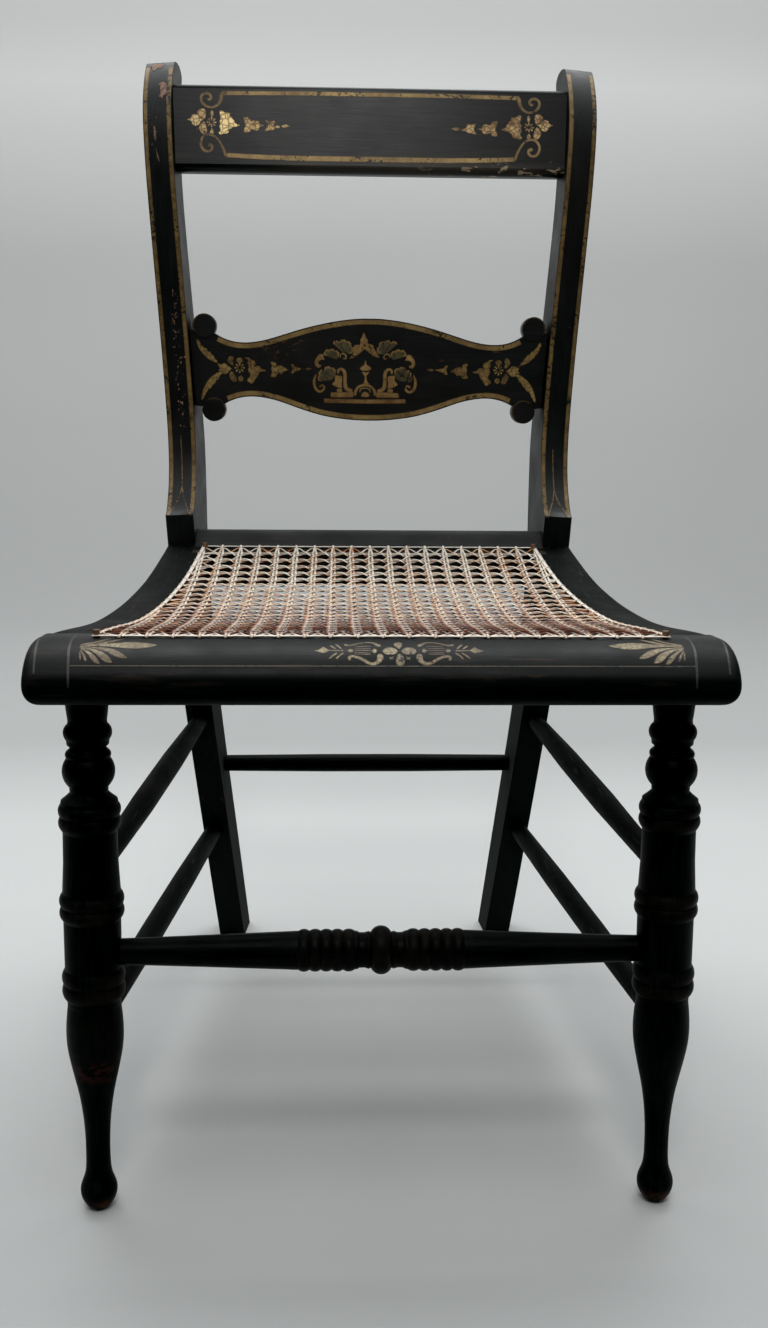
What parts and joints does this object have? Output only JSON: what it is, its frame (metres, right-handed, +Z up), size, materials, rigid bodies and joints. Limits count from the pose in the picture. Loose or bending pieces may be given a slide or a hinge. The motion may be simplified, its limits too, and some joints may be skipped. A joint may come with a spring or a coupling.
{
  "type": "side chair",
  "caption": "Painted and gold-stencilled wooden side chair with sabre-curved back posts, crest rail, shaped lower slat, turned front legs and stretcher, rolled front rail and cane seat.",
  "frame": {"origin": "on the floor, in the middle of the overall width and depth", "axes": "+Z up, +X to the viewer's right when the chair is seen from the front, the sitter faces -Y"},
  "size_m": [0.451, 0.5096, 0.841],
  "materials": {
    "painted_wood": "satin black paint over red-brown primer, gold stencilling and lines, worn at edges",
    "cane": "natural split cane, six-way weave, satin",
    "bare_wood": "bare turned pegs, matt",
    "gold_stencil": "rubbed bronze-powder gold, satin, worn"
  },
  "bodies": {
    "root": {"back_post_right": "painted_wood", "back_post_left": "painted_wood", "crest_rail": "painted_wood", "lower_slat": "painted_wood", "seat_front_roll": "painted_wood", "seat_side_rail_right": "painted_wood", "seat_side_rail_left": "painted_wood", "seat_rear_rail": "painted_wood", "front_leg_right": "painted_wood", "front_leg_left": "painted_wood", "front_stretcher": "painted_wood", "rear_stretcher": "painted_wood", "side_stretcher_upper_right": "painted_wood", "side_stretcher_upper_left": "painted_wood", "side_stretcher_lower_right": "painted_wood", "side_stretcher_lower_left": "painted_wood", "cane_seat": "cane", "cane_binder": "cane", "cane_pegs": "bare_wood"}
  },
  "joints": []
}
